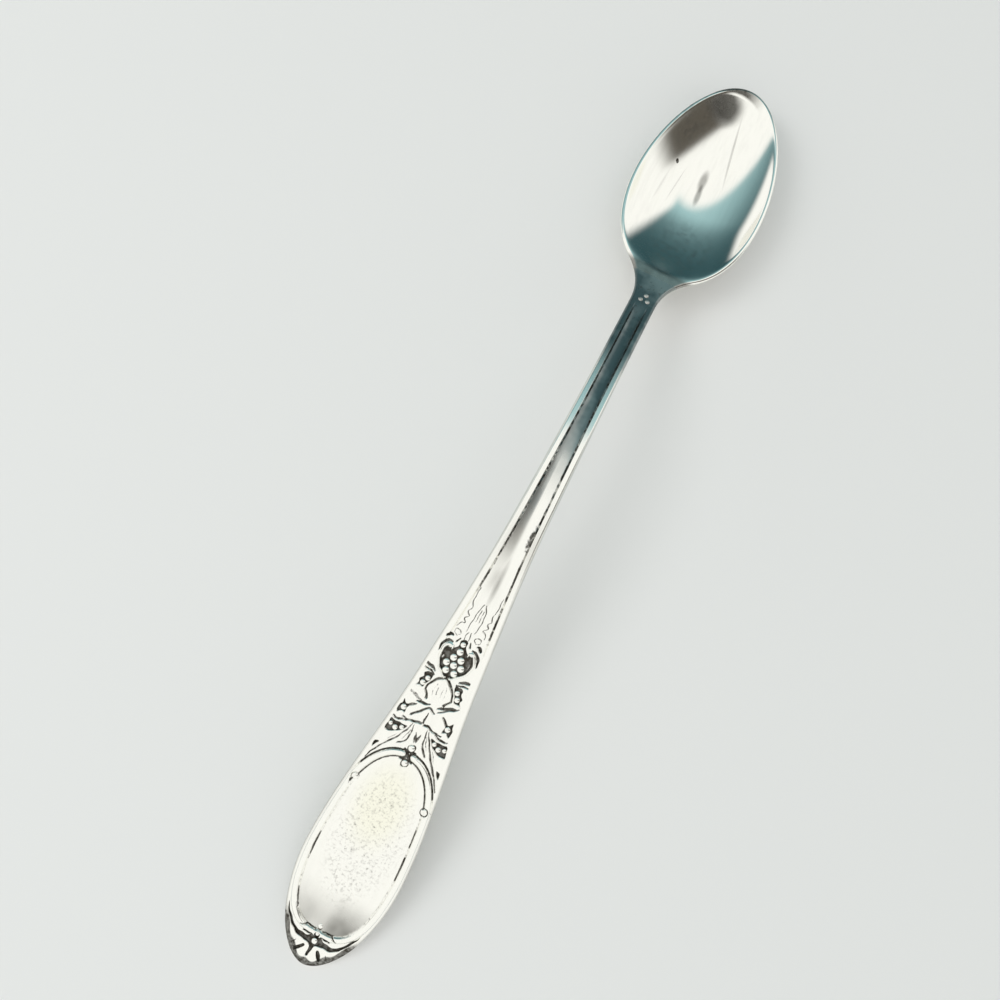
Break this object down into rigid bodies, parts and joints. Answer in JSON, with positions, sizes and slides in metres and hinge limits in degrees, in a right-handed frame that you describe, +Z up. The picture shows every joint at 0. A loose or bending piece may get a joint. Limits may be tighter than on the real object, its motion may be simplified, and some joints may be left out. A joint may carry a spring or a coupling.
{
  "type": "infant feeding spoon",
  "caption": "Long-handled silver-plated infant feeding spoon with a small egg-shaped bowl, a fluted stem and a broad handle end with a plain oval panel and vine relief.",
  "frame": {"origin": "middle of the spoon's box, on the table that it lies on", "axes": "+X from the handle tip to the bowl tip, +Y across, +Z up out of the open bowl"},
  "size_m": [0.14, 0.0208, 0.014],
  "materials": {
    "silver_plate": "polished silver plate, worn, warm in tone, with dark tarnish in the grooves",
    "struck_relief": "struck relief in silver plate, bright on its crowns and dark in its recesses"
  },
  "bodies": {
    "root": {"bowl": "silver_plate", "neck": "silver_plate", "stem": "silver_plate", "handle": "silver_plate", "oval_frame": "struck_relief", "frame_beads": "struck_relief", "leaf_stalks": "struck_relief", "vine_leaf": "struck_relief", "berry_cluster": "struck_relief", "heart_scroll": "struck_relief", "rosettes": "struck_relief", "tip_crest": "struck_relief", "neck_beads": "struck_relief"}
  },
  "joints": []
}
